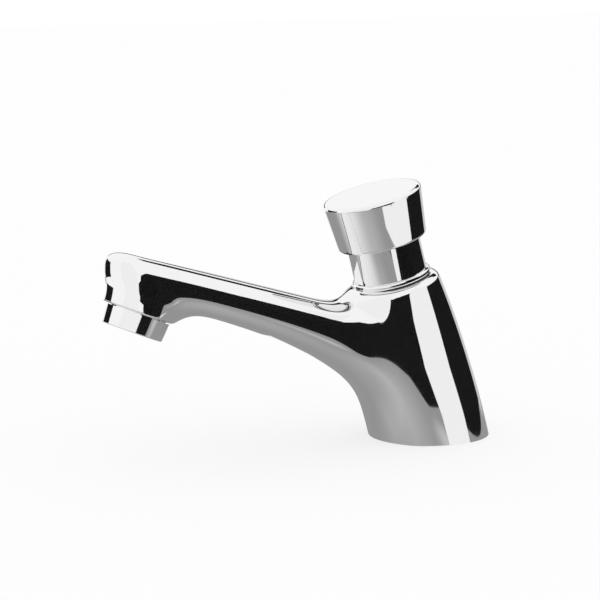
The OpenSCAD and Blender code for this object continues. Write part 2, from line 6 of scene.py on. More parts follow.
import bmesh
import bpy
import numpy as np
from bpy.props import FloatProperty, FloatVectorProperty, IntProperty, PointerProperty
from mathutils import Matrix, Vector


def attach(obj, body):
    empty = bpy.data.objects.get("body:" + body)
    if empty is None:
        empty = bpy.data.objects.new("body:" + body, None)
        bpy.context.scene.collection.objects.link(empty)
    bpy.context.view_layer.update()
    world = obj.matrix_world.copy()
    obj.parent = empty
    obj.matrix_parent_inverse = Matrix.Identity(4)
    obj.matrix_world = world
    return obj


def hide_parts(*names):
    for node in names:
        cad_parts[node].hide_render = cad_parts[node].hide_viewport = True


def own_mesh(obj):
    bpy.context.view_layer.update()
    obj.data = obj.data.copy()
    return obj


bl_info = {
    "name": "Push timed tap",
    "version": (1, 0, 0),
    "blender": (4, 5, 0),
    "location": "View3D > Sidebar > Tap",
    "description": "Builds a chrome push timed basin tap with its studio stage",
    "category": "Object",
}

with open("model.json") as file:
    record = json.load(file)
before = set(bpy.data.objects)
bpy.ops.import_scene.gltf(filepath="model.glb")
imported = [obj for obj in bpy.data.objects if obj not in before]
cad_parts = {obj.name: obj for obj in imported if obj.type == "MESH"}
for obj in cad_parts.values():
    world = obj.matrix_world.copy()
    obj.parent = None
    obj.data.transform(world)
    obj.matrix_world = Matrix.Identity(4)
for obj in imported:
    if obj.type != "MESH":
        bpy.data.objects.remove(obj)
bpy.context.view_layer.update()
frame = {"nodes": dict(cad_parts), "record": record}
GRAIN_LOW = 0.3
GRAIN_HIGH = 0.7


def length(name, description, default):
    """A size in metres."""
    return FloatProperty(name=name, description=description, default=default, unit="LENGTH", precision=5)


def plain_number(name, description, default):
    """A plain number."""
    return FloatProperty(name=name, description=description, default=default)


def angle(name, description, degrees):
    """An angle that is given in degrees and kept in radians."""
    return FloatProperty(
        name=name, description=description, default=math.radians(degrees), subtype="ANGLE"
    )


def colour(name, description, default):
    """A plain surface colour."""
    return FloatVectorProperty(
        name=name, description=description, default=default, subtype="COLOR", size=3, min=0.0, max=1.0
    )


class TapBodySizes(bpy.types.PropertyGroup):
    """Sizes of the cast body."""

    foot_diameter: length("Foot diameter", "Across the pillar at its foot, square to its axis", 0.04694)
    shoulder_diameter: length("Shoulder diameter", "Across the pillar at its shoulder", 0.0368)
    pillar_lean: angle("Pillar lean", "Lean of the pillar towards the spout", 15.0)
    body_height: length("Body height", "Foot to shoulder along the pillar's axis", 0.0656)
    shoulder_round: length("Shoulder rounding", "Rounding of the pillar's upper edge", 0.0024)
    spout_reach: length("Spout reach", "Foot's centre to the outlet's centre", 0.1247)
    spout_drop: length("Spout drop", "Shoulder down to the spout's top along the axis", 0.0168)
    spout_rise: angle("Spout rise", "Slope of the spout's top", 16.3)
    spout_width: length("Spout width", "Across the spout's arm", 0.0240)
    spout_thickness: length("Spout thickness", "Height of the spout's arm near its tip", 0.0171)
    underside_rise: angle("Underside rise", "Slope of the spout's underside near its tip", 18.6)
    underside_run: length("Underside run", "Length of arm over which the underside bends down", 0.0633)
    web_height: length("Web height", "How far up the pillar's front the web starts to lean out", 0.0198)
    web_inset: length("Web inset", "How far the web starts behind the front of the foot", 0.0030)
    heel_run: length("Heel run", "From the straight underside to the boss", 0.0111)
    heel_slope: angle("Heel slope", "Slope of the boss's heel to the outlet's axis", 41.0)
    tip_diameter: length("Tip diameter", "Across the round boss at the tip", 0.02858)
    tip_depth: length("Tip depth", "Spout's top down to the outlet's face", 0.0218)
    outlet_tilt: angle("Outlet tilt", "Tilt of the jet away from the pillar", 21.6)
    boss_height: length("Boss height", "How far the boss rises into the arm", 0.010)
    heel_tuck: plain_number("Heel tuck", "How much the heel's sides draw in at its foot", 0.45)
    boss_waist: plain_number("Boss waist", "How much the boss's sides draw in where they meet the arm", 0.2)
    boss_crown: length("Boss crown", "Rounding of the boss's upper edge", 0.004)
    boss_edge: length("Boss edge", "Rounding of the boss's lower edge", 0.0010)
    section_power: plain_number("Section power", "2 is an oval arm, more is squarer", 2.6)
    top_blend: length("Top blend", "Fillet between the spout's top and the pillar", 0.022)
    side_blend: length("Side blend", "Fillet between the spout's sides and the pillar", 0.020)
    web_blend: length("Web blend", "Fillet between the web and the pillar", 0.010)
    boss_blend: length("Boss blend", "Fillet between the boss and the arm", 0.009)
    mesh_step: length("Mesh step", "Size of the body's mesh faces", 0.0007)


class TapTrimSizes(bpy.types.PropertyGroup):
    """Sizes of the pieces that stand on the body."""

    gasket_thickness: length("Gasket thickness", "Under the bead", 0.0004)
    bead_diameter: length("Bead diameter", "Across the bead at the foot of the neck", 0.0316)
    bead_height: length("Bead height", "Of the bead at the foot of the neck", 0.0024)
    neck_diameter: length("Neck diameter", "Across the plain neck", 0.0290)
    neck_top: length("Neck top", "Level of the neck's roof along the axis", 0.0861)
    knob_level: length("Knob level", "Level of the knob's foot along the axis", 0.0821)
    knob_foot_diameter: length("Knob foot diameter", "Across the knob's lower edge", 0.0352)
    knob_top_diameter: length("Knob top diameter", "Across the knob's upper edge", 0.0396)
    knob_height: length("Knob height", "Of the knob along the axis", 0.0197)
    knob_top_thickness: length("Knob top thickness", "Of the knob's roof", 0.003)
    outlet_ring_diameter: length("Outlet ring diameter", "Across the ring under the tip", 0.0250)
    outlet_ring_foot: length("Outlet ring foot", "Across the ring's lower edge", 0.02378)
    outlet_ring_height: length("Outlet ring height", "That shows under the tip", 0.0076)
    wire_diameter: length("Wire diameter", "Of the return spring's wire", 0.0012)
    coil_diameter: length("Coil diameter", "Mean diameter of the return spring", 0.0132)
    coil_low: length("Coil foot", "Level of the coil's lowest wire", 0.05565)
    coil_high: length("Coil top", "Level of the coil's highest wire", 0.07045)
    coil_turns: plain_number("Coil turns", "Turns of the return spring", 4.5)
    turning_steps: IntProperty(name="Turning steps", description="Faces round a turned piece", default=160)


class TapFinishes(bpy.types.PropertyGroup):
    """Colours of the finishes."""

    chrome: colour("Chrome", "Bright plating", (0.90, 0.90, 0.905))
    brass: colour("Brass", "Machined brass inside", (0.72, 0.53, 0.25))
    steel: colour("Steel", "Brushed stainless steel", (0.62, 0.63, 0.64))
    rubber: colour("Rubber", "Seals and gaskets", (0.022, 0.022, 0.023))
    white_plastic: colour("White plastic", "Moulded inner pieces", (0.78, 0.78, 0.76))
    grey_plastic: colour("Grey plastic", "Moulded outlet pieces", (0.30, 0.31, 0.32))


class TapStage(bpy.types.PropertyGroup):
    """The studio round the tap."""

    view_turn: angle("View turn", "How far the camera stands round towards the spout's tip", 25.33)
    view_height: angle("View height", "Camera's angle above the deck", 9.26)
    view_distance: length("View distance", "Camera to the middle of the tap", 0.9721)
    lens: plain_number("Lens", "Focal length in millimetres", 150.0)
    target: FloatVectorProperty(
        name="Target", description="Point in the middle of the picture", default=(-0.0572, 0.0, 0.0582),
        subtype="TRANSLATION", size=3
    )
    floor: colour("Floor", "Plain pale floor", (0.97, 0.97, 0.97))
    table_level: length("Table level", "Level of the table that the chrome mirrors", -0.05)
    # The table's grey is a glow that only the chrome sees: a painted reflection of the lit table.
    table: plain_number("Table", "Grey of the table that the chrome mirrors", 0.31)
    flag: plain_number("Flag", "Grey of the dark flags that the chrome mirrors", 0.011)
    # The cards' white and grey are glows that only the chrome sees: painted reflections of lit cards.
    card: plain_number("Card", "White of the cards that the chrome mirrors", 0.94)
    grey_card: plain_number("Grey card", "Grey of the card behind the tap", 0.6)
    whitening: plain_number("Whitening", "Share of plain white in the floor as seen", 0.6)


def smooth_join(a, b, reach):
    """Union of two fields with a soft inner corner."""
    near = np.maximum(reach - np.abs(a - b), 0.0) / reach
    return np.minimum(a, b) - near ** 3 * reach / 6.0


def round_cut(a, b, radius):
    """Overlap of two fields with a rounded edge."""
    a = a + radius
    b = b + radius
    return np.hypot(np.maximum(a, 0.0), np.maximum(b, 0.0)) + np.minimum(np.maximum(a, b), 0.0) - radius


def ease(t):
    """A smooth step from 0 to 1."""
    t = np.clip(t, 0.0, 1.0)
    return t * t * t * (t * (6.0 * t - 15.0) + 10.0)


class BodyShape:
    """The cast body as one smooth field in metres, negative inside."""

    curve_points = 2001
    arm_start = 0.006
    arm_start_round = 0.010
    arm_past_outlet = 0.00078
    blend_start = 0.2

    def __init__(self, sizes):
        self.sizes = sizes
        self.lean = (math.sin(sizes.pillar_lean), math.cos(sizes.pillar_lean))
        self.tilt = (math.sin(sizes.outlet_tilt), math.cos(sizes.outlet_tilt))
        self.tip_radius = sizes.tip_diameter / 2
        level = sizes.body_height - sizes.spout_drop
        self.axis_forward = level * self.lean[0]
        self.axis_up = level * self.lean[1]
        self.outlet_up = self.top(sizes.spout_reach) - sizes.tip_depth
        narrowing = (sizes.foot_diameter - sizes.shoulder_diameter) / 2
        self.wall_curve = (sizes.body_height ** 2 + narrowing ** 2) / (2 * narrowing)
        self.lay_underside()

    def lay_underside(self):
        """The underside's curve, from the foot's front to the arm's end."""
        sizes = self.sizes
        end_forward = sizes.spout_reach - self.tip_radius - sizes.heel_run
        end = np.array([end_forward, self.top(end_forward) - sizes.spout_thickness])
        foot = np.array([sizes.foot_diameter / 2 / self.lean[1] - sizes.web_inset, 0.0])
        web = foot + sizes.web_height * np.array([math.tan(sizes.pillar_lean), 1.0])
        rise = np.array([math.cos(sizes.underside_rise), math.sin(sizes.underside_rise)])
        bend = end - sizes.underside_run * rise
        t = np.linspace(0.0, 1.0, self.curve_points)[:, None]
        s = 1.0 - t
        curve = s ** 3 * foot + 3 * s * s * t * web + 3 * s * t * t * bend + t ** 3 * end
        self.under_forward = curve[:, 0]
        self.under_up = curve[:, 1]

    def top(self, forward):
        """Height of the spout's top line."""
        return self.axis_up + (forward - self.axis_forward) * math.tan(self.sizes.spout_rise)

    def bottom(self, forward):
        """Height of the spout's underside, which runs on straight past both of its ends."""
        before = np.minimum(forward - self.under_forward[0], 0.0) / math.tan(self.sizes.pillar_lean)
        past = np.maximum(forward - self.under_forward[-1], 0.0) * math.tan(self.sizes.underside_rise)
        return np.interp(forward, self.under_forward, self.under_up) + before + past

    def pillar(self, x, y, z):
        """The leaning pillar, whose wall is an arc that narrows towards the shoulder."""
        sizes = self.sizes
        level = -x * self.lean[0] + z * self.lean[1]
        away = -x * self.lean[1] - z * self.lean[0]
        inward = sizes.foot_diameter / 2 - self.wall_curve
        wall = np.hypot(np.hypot(away, y) - inward, level) - self.wall_curve
        return round_cut(wall, level - sizes.body_height, sizes.shoulder_round)

    def arm(self, x, y, z):
        """The spout's arm with its round end, and how high in its section each point is."""
        sizes = self.sizes
        forward = -x
        high = self.top(forward)
        low = self.bottom(forward)
        half_height = (high - low) / 2
        half_width = sizes.spout_width / 2
        lift = (z - (high + low) / 2) / half_height
        past = np.maximum(forward - sizes.spout_reach - self.arm_past_outlet, 0.0)
        across = np.hypot(y, past) / half_width
        power = sizes.section_power
        size = (across ** power + np.abs(lift) ** power + 1e-12) ** (1 / power)
        steep = np.hypot(across ** (power - 1) / half_width, np.abs(lift) ** (power - 1) / half_height)
        distance = (size - 1) / (size ** (1 - power) * steep + 1e-6)
        return round_cut(distance, self.arm_start - forward, self.arm_start_round), lift

    def boss(self, x, y, z):
        """The round boss at the tip, square to the jet, with a heel that slopes back to the arm."""
        sizes = self.sizes
        along = (x + sizes.spout_reach) * self.tilt[0] + (z - self.outlet_up) * self.tilt[1]
        back = (x + sizes.spout_reach) * self.tilt[1] - (z - self.outlet_up) * self.tilt[0]
        rise = np.clip(along / sizes.boss_height, 0.0, 1.0)
        heel = sizes.boss_height * rise * math.tan(sizes.heel_slope)
        back = np.where(back > 0, back / (1.0 + heel / self.tip_radius), back)
        tuck = sizes.heel_tuck * ease(back / self.tip_radius) * (1.0 - rise)
        waist = sizes.boss_waist * ease(1.0 + back / self.tip_radius) * rise
        wall = np.hypot(back, y * (1.0 + tuck + waist)) - self.tip_radius
        faced = round_cut(wall, -along, sizes.boss_edge)
        return round_cut(faced, along - sizes.boss_height, sizes.boss_crown)

    def field(self, points):
        """The whole body."""
        sizes = self.sizes
        x, y, z = points[:, 0], points[:, 1], points[:, 2]
        arm, lift = self.arm(x, y, z)
        room = 1.0 - self.blend_start
        blend = sizes.side_blend
        blend = blend + (sizes.top_blend - sizes.side_blend) * ease((lift - self.blend_start) / room)
        blend = blend + (sizes.web_blend - sizes.side_blend) * ease((-lift - self.blend_start) / room)
        joined = smooth_join(self.pillar(x, y, z), arm, blend)
        return smooth_join(joined, self.boss(x, y, z), sizes.boss_blend)

    def slope(self, points, step=2e-5):
        """The field's slope at each point."""
        slopes = np.empty_like(points)
        for axis in range(3):
            shift = np.zeros(3)
            shift[axis] = step
            slopes[:, axis] = (self.field(points + shift) - self.field(points - shift)) / (2 * step)
        return slopes


def net_over(field, low, high, step):
    """A net of four-sided faces over the field's zero surface, with one point in each crossed cell."""
    low = np.asarray(low)
    counts = np.ceil((np.asarray(high) - low) / step).astype(int)
    grids = np.meshgrid(*[np.arange(n + 1) for n in counts], indexing="ij")
    nodes = np.stack([g.ravel() for g in grids], axis=1)
    values = field(low + nodes * step).reshape(counts + 1)
    inside = values < 0
    sums = np.zeros(tuple(counts) + (3,))
    hits = np.zeros(tuple(counts))
    crossings = []
    for axis in range(3):
        first = [slice(None)] * 3
        second = [slice(None)] * 3
        first[axis] = slice(0, -1)
        second[axis] = slice(1, None)
        start = values[tuple(first)]
        end = values[tuple(second)]
        crossed = inside[tuple(first)] != inside[tuple(second)]
        share = np.where(crossed, start / np.where(crossed, start - end, 1.0), 0.0)
        place = np.stack([g[tuple(first)] for g in grids], axis=-1).astype(float)
        place[..., axis] += share
        place *= crossed[..., None]
        others = [a for a in range(3) if a != axis]
        for da in (0, 1):
            for db in (0, 1):
                window = [slice(None)] * 3
                window[others[0]] = slice(da, da + counts[others[0]])
                window[others[1]] = slice(db, db + counts[others[1]])
                sums += place[tuple(window)]
                hits += crossed[tuple(window)]
        crossings.append((axis, others, np.argwhere(crossed), inside[tuple(first)][crossed]))
    used = hits > 0
    number = np.full(tuple(counts), -1)
    number[used] = np.arange(used.sum())
    points = low + step * sums[used] / hits[used][:, None]
    faces = []
    for axis, others, cells, starts_inside in crossings:
        corners = []
        for da, db in ((0, 0), (1, 0), (1, 1), (0, 1)):
            cell = cells.copy()
            cell[:, others[0]] -= 1 - da
            cell[:, others[1]] -= 1 - db
            corners.append(number[tuple(cell.T)])
        quads = np.stack(corners, axis=1)
        turned_round = ~starts_inside if axis != 1 else starts_inside
        quads[turned_round] = quads[turned_round][:, ::-1]
        faces.append(quads)
    return points, np.concatenate(faces)


def settle(shape, points, faces, rounds):
    """Evens out the net's points and draws them onto the shape's true surface."""
    least_steep = 0.05
    pairs = np.concatenate([faces[:, [i, (i + 1) % 4]] for i in range(4)])
    for _ in range(rounds):
        sums = np.zeros_like(points)
        counts = np.zeros(len(points))
        np.add.at(sums, pairs[:, 0], points[pairs[:, 1]])
        np.add.at(counts, pairs[:, 0], 1)
        points = points + 0.5 * (sums / counts[:, None] - points)
        for _ in range(2):
            slopes = shape.slope(points)
            steep = np.maximum((slopes ** 2).sum(axis=1), least_steep)
            points = points - (shape.field(points) / steep)[:, None] * slopes
    return points


def mesh_piece(name, points, faces):
    """A new object from points and faces."""
    mesh = bpy.data.meshes.new(name)
    mesh.from_pydata([tuple(p) for p in points], [], [tuple(f) for f in faces])
    mesh.validate()
    piece = bpy.data.objects.new(name, mesh)
    bpy.context.scene.collection.objects.link(piece)
    return piece


def corner_run(before, corner, after, radius, steps):
    """Points and outward slopes of the arc that rounds one corner of an outline."""
    to_before = (before - corner) / np.linalg.norm(before - corner)
    to_after = (after - corner) / np.linalg.norm(after - corner)
    half = math.acos(float(np.clip(to_before @ to_after, -1.0, 1.0))) / 2
    middle = (to_before + to_after) / np.linalg.norm(to_before + to_after)
    centre = corner + middle * radius / math.sin(half)
    start = corner + to_before * radius / math.tan(half) - centre
    end = corner + to_after * radius / math.tan(half) - centre
    from_angle = math.atan2(start[1], start[0])
    turn = (math.atan2(end[1], end[0]) - from_angle + 3 * math.pi) % (2 * math.pi) - math.pi
    side = 1.0 if turn > 0 else -1.0
    run = []
    for i in range(steps + 1):
        a = from_angle + turn * i / steps
        ray = np.array([math.cos(a), math.sin(a)])
        run.append((centre + radius * ray, side * ray))
    return run


def outline_strips(corners, steps=10):
    """Strips of a closed half outline: each has two points and the outward slope at each of them."""
    flat = [np.array(c[:2]) for c in corners]
    runs = []
    for i, corner in enumerate(corners):
        rounding = corner[2] if len(corner) > 2 else 0.0
        if rounding > 0:
            runs.append(corner_run(flat[i - 1], flat[i], flat[(i + 1) % len(flat)], rounding, steps))
        else:
            runs.append([(flat[i], None)])
    strips = []
    for i, run in enumerate(runs):
        for (p, m), (q, n) in zip(run, run[1:]):
            strips.append((p, q, m, n))
        p = run[-1][0]
        q = runs[(i + 1) % len(runs)][0][0]
        along = q - p
        reach = np.linalg.norm(along)
        if reach > 1e-9:
            out = np.array([along[1], -along[0]]) / reach
            strips.append((p, q, out, out))
    return strips


class Axis:
    """A turning axis: where its level 0 is, and the directions along and across it."""

    def __init__(self, origin, along, across):
        self.origin = np.array(origin)
        self.along = np.array(along)
        self.across = np.array(across)
        self.side = np.cross(self.along, self.across)

    def place(self, radius, level, turn):
        """A point at a radius, a level and a turn."""
        return self.origin + self.along * level + self.ray(turn) * radius

    def ray(self, turn):
        """The direction away from the axis at a turn."""
        return self.across * math.cos(turn) + self.side * math.sin(turn)


def pillar_axis(sizes):
    """The pillar's leaning axis, from the deck up."""
    s, c = math.sin(sizes.pillar_lean), math.cos(sizes.pillar_lean)
    return Axis((0.0, 0.0, 0.0), (-s, 0.0, c), (c, 0.0, s))


def outlet_axis(sizes):
    """The outlet's axis, from the boss's face up."""
    s, c = math.sin(sizes.outlet_tilt), math.cos(sizes.outlet_tilt)
    return Axis((-sizes.spout_reach, 0.0, BodyShape(sizes).outlet_up), (s, 0.0, c), (c, 0.0, -s))


def upright_axis(x):
    """An upright axis on the deck."""
    return Axis((x, 0.0, 0.0), (0.0, 0.0, 1.0), (1.0, 0.0, 0.0))


def turned_piece(name, corners, axis, steps):
    """A piece turned from a closed half outline, with the true slope at every corner of its faces."""
    points = []
    faces = []
    slopes = []
    numbers = {}

    def corner_number(point, i):
        key = (round(point[0], 8), round(point[1], 8), 0 if point[0] < 1e-7 else i % steps)
        if key not in numbers:
            numbers[key] = len(points)
            points.append(axis.place(point[0], point[1], 2 * math.pi * i / steps))
        return numbers[key]

    def corner_slope(out, i):
        return axis.ray(2 * math.pi * i / steps) * out[0] + axis.along * out[1]

    for p, q, m, n in outline_strips(corners):
        if p[0] < 1e-7 and q[0] < 1e-7:
            continue
        for i in range(steps):
            ring = [(p, m, i), (p, m, i + 1), (q, n, i + 1), (q, n, i)]
            face = []
            lean = []
            for point, out, turn in ring:
                number = corner_number(point, turn)
                if number not in face:
                    face.append(number)
                    lean.append(corner_slope(out, turn))
            faces.append(face)
            slopes.extend(lean)
    piece = mesh_piece(name, points, faces)
    set_slopes(piece, slopes)
    return piece


def set_slopes(piece, slopes):
    """Gives each corner of each face its own shading direction."""
    mesh = piece.data
    mesh.polygons.foreach_set("use_smooth", [True] * len(mesh.polygons))
    mesh.normals_split_custom_set([tuple(s) for s in slopes])


def dress(piece, finish, body, slot, *nodes):
    """Gives a new piece its finish and its body, and hides the nodes that it stands for. The slot is not
    used.
    """
    piece.data.materials.clear()
    piece.data.materials.append(finish)
    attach(piece, body)
    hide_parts(*nodes)


def cut(piece, cutter):
    """Takes a cutter's shape out of a piece."""
    modifier = piece.modifiers.new("cut", "BOOLEAN")
    modifier.operation = "DIFFERENCE"
    modifier.solver = "EXACT"
    modifier.object = cutter
    bpy.context.view_layer.objects.active = piece
    with bpy.context.temp_override(object=piece, active_object=piece):
        bpy.ops.object.modifier_apply(modifier=modifier.name)
    bpy.data.objects.remove(cutter, do_unlink=True)


def body_bores(sizes):
    """Cutters for everything that is bored into the body, as half outlines on their axes."""
    over = 0.001
    pillar = pillar_axis(sizes)
    outlet = outlet_axis(sizes)
    top = sizes.body_height + over
    chamber_floor = 0.0193
    seat_r = 0.0105
    seat_top = 0.0375
    chamber_r = 0.0115
    thread_foot = 0.051
    thread_r = 0.01305
    chamber = [
        (0.0, chamber_floor), (seat_r, chamber_floor), (seat_r, seat_top), (chamber_r, seat_top),
        (chamber_r, thread_foot), (thread_r, thread_foot), (thread_r, top), (0.0, top),
    ]
    socket_foot = -0.004
    socket_r = 0.01105
    socket_top = 0.0084
    jet_r = 0.00675
    jet_top = 0.0135
    socket = [
        (0.0, socket_foot), (socket_r, socket_foot), (socket_r, socket_top), (jet_r, socket_top),
        (jet_r, jet_top), (0.0, jet_top),
    ]
    hose_r = 0.004459
    hose_top = 0.009
    inlet_r = 0.004059
    inlet_top = 0.0203
    hose = [
        (0.0, -over), (hose_r, -over), (hose_r, hose_top), (inlet_r, hose_top), (inlet_r, inlet_top),
        (0.0, inlet_top),
    ]
    stud_x = 0.0128
    stud_r = 0.003323
    stud_top = 0.012
    stud = [(0.0, -over), (stud_r, -over), (stud_r, stud_top), (0.0, stud_top)]
    groove_in = 0.01745
    groove_out = 0.02055
    groove_top = 0.0016
    groove = [(groove_in, -over), (groove_out, -over), (groove_out, groove_top), (groove_in, groove_top)]
    return [
        (chamber, pillar), (socket, outlet), (hose, upright_axis(0.0)),
        (stud, upright_axis(stud_x)), (groove, upright_axis(0.0)),
    ]


def stand_on_deck(piece):
    """Cuts a piece level with the deck and closes its foot."""
    mesh = bmesh.new()
    mesh.from_mesh(piece.data)
    everything = mesh.verts[:] + mesh.edges[:] + mesh.faces[:]
    sliced = bmesh.ops.bisect_plane(
        mesh, geom=everything, plane_co=(0, 0, 0), plane_no=(0, 0, 1), clear_inner=True, dist=1e-6
    )
    rim = [e for e in sliced["geom_cut"] if isinstance(e, bmesh.types.BMEdge)]
    bmesh.ops.contextual_create(mesh, geom=rim)
    bmesh.ops.recalc_face_normals(mesh, faces=mesh.faces)
    mesh.to_mesh(piece.data)
    mesh.free()


def true_slopes(piece, shape):
    """Shading directions from the shape where a face lies on it, and the face's own elsewhere."""
    on_surface = 5e-5
    agreement = 0.7
    mesh = piece.data
    points = np.empty(len(mesh.vertices) * 3)
    mesh.vertices.foreach_get("co", points)
    points = points.reshape(-1, 3)
    corners = np.empty(len(mesh.loops), dtype=int)
    mesh.loops.foreach_get("vertex_index", corners)
    flats = np.empty(len(mesh.polygons) * 3)
    mesh.polygons.foreach_get("normal", flats)
    totals = np.empty(len(mesh.polygons), dtype=int)
    mesh.polygons.foreach_get("loop_total", totals)
    flats = np.repeat(flats.reshape(-1, 3), totals, axis=0)
    slopes = shape.slope(points)
    slopes /= np.linalg.norm(slopes, axis=1)[:, None] + 1e-12
    slopes = slopes[corners]
    near = np.abs(shape.field(points))[corners] < on_surface
    agrees = (slopes * flats).sum(axis=1) > agreement
    return np.where((near & agrees)[:, None], slopes, flats)


def cast_body(sizes):
    """The cast body's skin, with its bores."""
    shape = BodyShape(sizes)
    step = sizes.mesh_step
    front_room = sizes.tip_diameter / 2 + 0.004
    top_room = 0.006
    half = sizes.foot_diameter / 2 + 4 * step
    low = (-sizes.spout_reach - front_room, -half, -6 * step)
    high = (half, half, shape.top(sizes.spout_reach) + top_room)
    points, faces = net_over(shape.field, low, high, step)
    points = settle(shape, points, faces, 4)
    piece = mesh_piece("cast_body", points, faces)
    stand_on_deck(piece)
    for corners, axis in body_bores(sizes):
        cut(piece, turned_piece("cutter", corners, axis, 96))
    set_slopes(piece, true_slopes(piece, shape))
    return piece


def node_finish(name):
    """A new node material with its shader."""
    finish = bpy.data.materials.new(name)
    finish.use_nodes = True
    tree = finish.node_tree
    return finish, tree, tree.nodes["Principled BSDF"]


def grain(tree, scale, detail, stretch=(1.0, 1.0, 1.0)):
    """Fine noise fixed to the piece, in metres."""
    place = tree.nodes.new("ShaderNodeTexCoord")
    mapping = tree.nodes.new("ShaderNodeMapping")
    mapping.inputs["Scale"].default_value = stretch
    noise = tree.nodes.new("ShaderNodeTexNoise")
    noise.inputs["Scale"].default_value = scale
    noise.inputs["Detail"].default_value = detail
    tree.links.new(place.outputs["Object"], mapping.inputs["Vector"])
    tree.links.new(mapping.outputs["Vector"], noise.inputs["Vector"])
    return noise.outputs["Fac"]


def roughen(tree, shader, source, low, high):
    """A roughness that follows a grain from low to high."""
    spread = tree.nodes.new("ShaderNodeMapRange")
    spread.inputs["From Min"].default_value = GRAIN_LOW
    spread.inputs["From Max"].default_value = GRAIN_HIGH
    spread.inputs["To Min"].default_value = low
    spread.inputs["To Max"].default_value = high
    tree.links.new(source, spread.inputs["Value"])
    tree.links.new(spread.outputs["Result"], shader.inputs["Roughness"])


def paint(tree, shader, source, dark, light):
    """A colour that follows a grain from dark to light."""
    ramp = tree.nodes.new("ShaderNodeValToRGB")
    ramp.color_ramp.elements[0].position = GRAIN_LOW
    ramp.color_ramp.elements[0].color = (*dark, 1.0)
    ramp.color_ramp.elements[1].position = GRAIN_HIGH
    ramp.color_ramp.elements[1].color = (*light, 1.0)
    tree.links.new(source, ramp.inputs["Fac"])
    tree.links.new(ramp.outputs["Color"], shader.inputs["Base Color"])


def relief(tree, shader, source, strength, depth):
    """A fine relief on a finish."""
    bump = tree.nodes.new("ShaderNodeBump")
    bump.inputs["Strength"].default_value = strength
    bump.inputs["Distance"].default_value = depth
    tree.links.new(source, bump.inputs["Height"])
    tree.links.new(bump.outputs["Normal"], shader.inputs["Normal"])


def tint(base, share):
    """A colour made darker or lighter by a share."""
    return tuple(min(max(c * share, 0.0), 1.0) for c in base)


def chrome_finish(finishes):
    """Bright plating with faint polishing haze."""
    finish, tree, shader = node_finish("bright_chrome")
    shader.inputs["Metallic"].default_value = 1.0
    haze = grain(tree, 140.0, 3.0)
    paint(tree, shader, haze, tint(finishes.chrome, 0.985), finishes.chrome)
    roughen(tree, shader, haze, 0.03, 0.055)
    return finish


def brass_finish(finishes):
    """Machined brass with fine tool marks."""
    finish, tree, shader = node_finish("machined_brass")
    shader.inputs["Metallic"].default_value = 1.0
    marks = grain(tree, 500.0, 4.0, (1.0, 1.0, 6.0))
    paint(tree, shader, marks, tint(finishes.brass, 0.88), finishes.brass)
    roughen(tree, shader, marks, 0.22, 0.36)
    relief(tree, shader, marks, 0.15, 0.0001)
    return finish


def steel_finish(finishes):
    """Brushed stainless steel."""
    finish, tree, shader = node_finish("brushed_steel")
    shader.inputs["Metallic"].default_value = 1.0
    marks = grain(tree, 900.0, 3.0, (1.0, 1.0, 8.0))
    paint(tree, shader, marks, tint(finishes.steel, 0.85), finishes.steel)
    roughen(tree, shader, marks, 0.25, 0.42)
    relief(tree, shader, marks, 0.2, 0.0001)
    return finish


def rubber_finish(finishes):
    """Matt black rubber with a fine bloom."""
    finish, tree, shader = node_finish("matt_rubber")
    bloom = grain(tree, 700.0, 5.0)
    paint(tree, shader, bloom, finishes.rubber, tint(finishes.rubber, 1.8))
    roughen(tree, shader, bloom, 0.6, 0.8)
    relief(tree, shader, bloom, 0.25, 0.0001)
    return finish


def plastic_finish(name, base):
    """Moulded plastic with a fine spark texture."""
    finish, tree, shader = node_finish(name)
    spark = grain(tree, 1200.0, 4.0)
    paint(tree, shader, spark, tint(base, 0.94), base)
    roughen(tree, shader, spark, 0.38, 0.52)
    relief(tree, shader, spark, 0.12, 0.0001)
    return finish


def finish_for(slot):
    """The finish of a material slot, made once."""
    finishes = bpy.context.scene.tap_finishes
    makers = {
        "chrome": ("bright_chrome", lambda: chrome_finish(finishes)),
        "brass": ("machined_brass", lambda: brass_finish(finishes)),
        "steel": ("brushed_steel", lambda: steel_finish(finishes)),
        "rubber": ("matt_rubber", lambda: rubber_finish(finishes)),
        "white_plastic": ("white_plastic", lambda: plastic_finish("white_plastic", finishes.white_plastic)),
        "grey_plastic": ("grey_plastic", lambda: plastic_finish("grey_plastic", finishes.grey_plastic)),
    }
    name, make = makers[slot]
    return bpy.data.materials.get(name) or make()


class TAP_OT_stage(bpy.types.Operator):
    """Builds the floor, the mirrored cards and the camera"""

    bl_idname = "tap.stage"
    bl_label = "Stage"

    def execute(self, context):
        settings = context.scene.tap_stage
        context.scene.view_settings.view_transform = "Standard"
        light_the_room(context.scene)
        lay_floor(settings)
        stand_cards(settings)
        place_camera(context.scene, settings)
        return {"FINISHED"}


def light_the_room(scene):
    """Even white light from all round."""
    world = bpy.data.worlds.new("studio")
    world.use_nodes = True
    world.node_tree.nodes["Background"].inputs["Color"].default_value = (1.0, 1.0, 1.0, 1.0)
    world.node_tree.nodes["Background"].inputs["Strength"].default_value = 1.0
    scene.world = world


def lay_floor(settings):
    """A plain pale floor."""
    finish, tree, shader = node_finish("pale_floor")
    speck = grain(tree, 30.0, 2.0)
    paint(tree, shader, speck, tint(settings.floor, 0.998), settings.floor)
    shader.inputs["Roughness"].default_value = 1.0
    shader.inputs["Specular IOR Level"].default_value = 0.0
    whiten(tree, shader, settings.whitening)
    half = 3.0
    corners = [(-half, -half, 0.0), (half, -half, 0.0), (half, half, 0.0), (-half, half, 0.0)]
    floor = mesh_piece("floor", corners, [(0, 1, 2, 3)])
    floor.data.materials.append(finish)
    floor.visible_glossy = False


